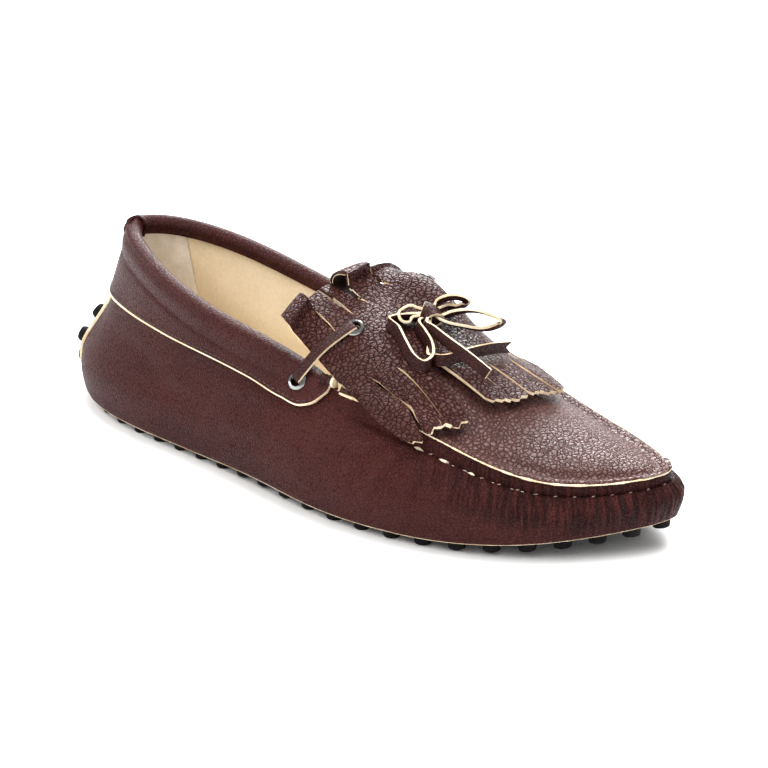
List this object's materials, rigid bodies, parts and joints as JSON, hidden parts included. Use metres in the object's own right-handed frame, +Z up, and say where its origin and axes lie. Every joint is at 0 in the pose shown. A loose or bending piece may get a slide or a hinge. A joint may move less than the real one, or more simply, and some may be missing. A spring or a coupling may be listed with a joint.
{
  "type": "kiltie driving moccasin",
  "caption": "Right driving moccasin with a raised-seam apron, a folded fringed kiltie, eyelets, a leather lace tied in a bow, and a studded rubber sole.",
  "frame": {"origin": "on the floor under the middle of the shoe's plan box", "axes": "+X from heel to toe, +Y to the medial side, +Z up"},
  "size_m": [0.2864, 0.1008, 0.0814],
  "materials": {
    "upper_leather": "pebbled dark brown leather, satin",
    "band_leather": "fine-grained dark brown leather, satin",
    "kiltie_leather": "coarse pebbled dark brown leather, glossy, with pale raw edges",
    "lace_leather": "flat dark brown leather lace with pale raw edges",
    "insole_leather": "smooth pale tan leather",
    "sole_rubber": "mat black rubber",
    "eyelet_metal": "dark gunmetal"
  },
  "bodies": {
    "root": {"upper": "upper_leather", "outsole": "sole_rubber", "insole": "insole_leather", "collar_band": "band_leather", "heel_patch": "upper_leather", "kiltie": "kiltie_leather", "eyelet_band_lateral": "eyelet_metal", "eyelet_kiltie_lateral": "eyelet_metal", "lace_bar_lateral": "lace_leather", "eyelet_band_medial": "eyelet_metal", "eyelet_kiltie_medial": "eyelet_metal", "lace_bar_medial": "lace_leather", "bow_knot": "lace_leather", "bow_loop_near": "lace_leather", "bow_loop_back": "lace_leather", "bow_loop_high": "lace_leather", "bow_loop_far": "lace_leather", "bow_tail_front": "lace_leather", "bow_tail_swallow": "lace_leather"}
  },
  "joints": []
}
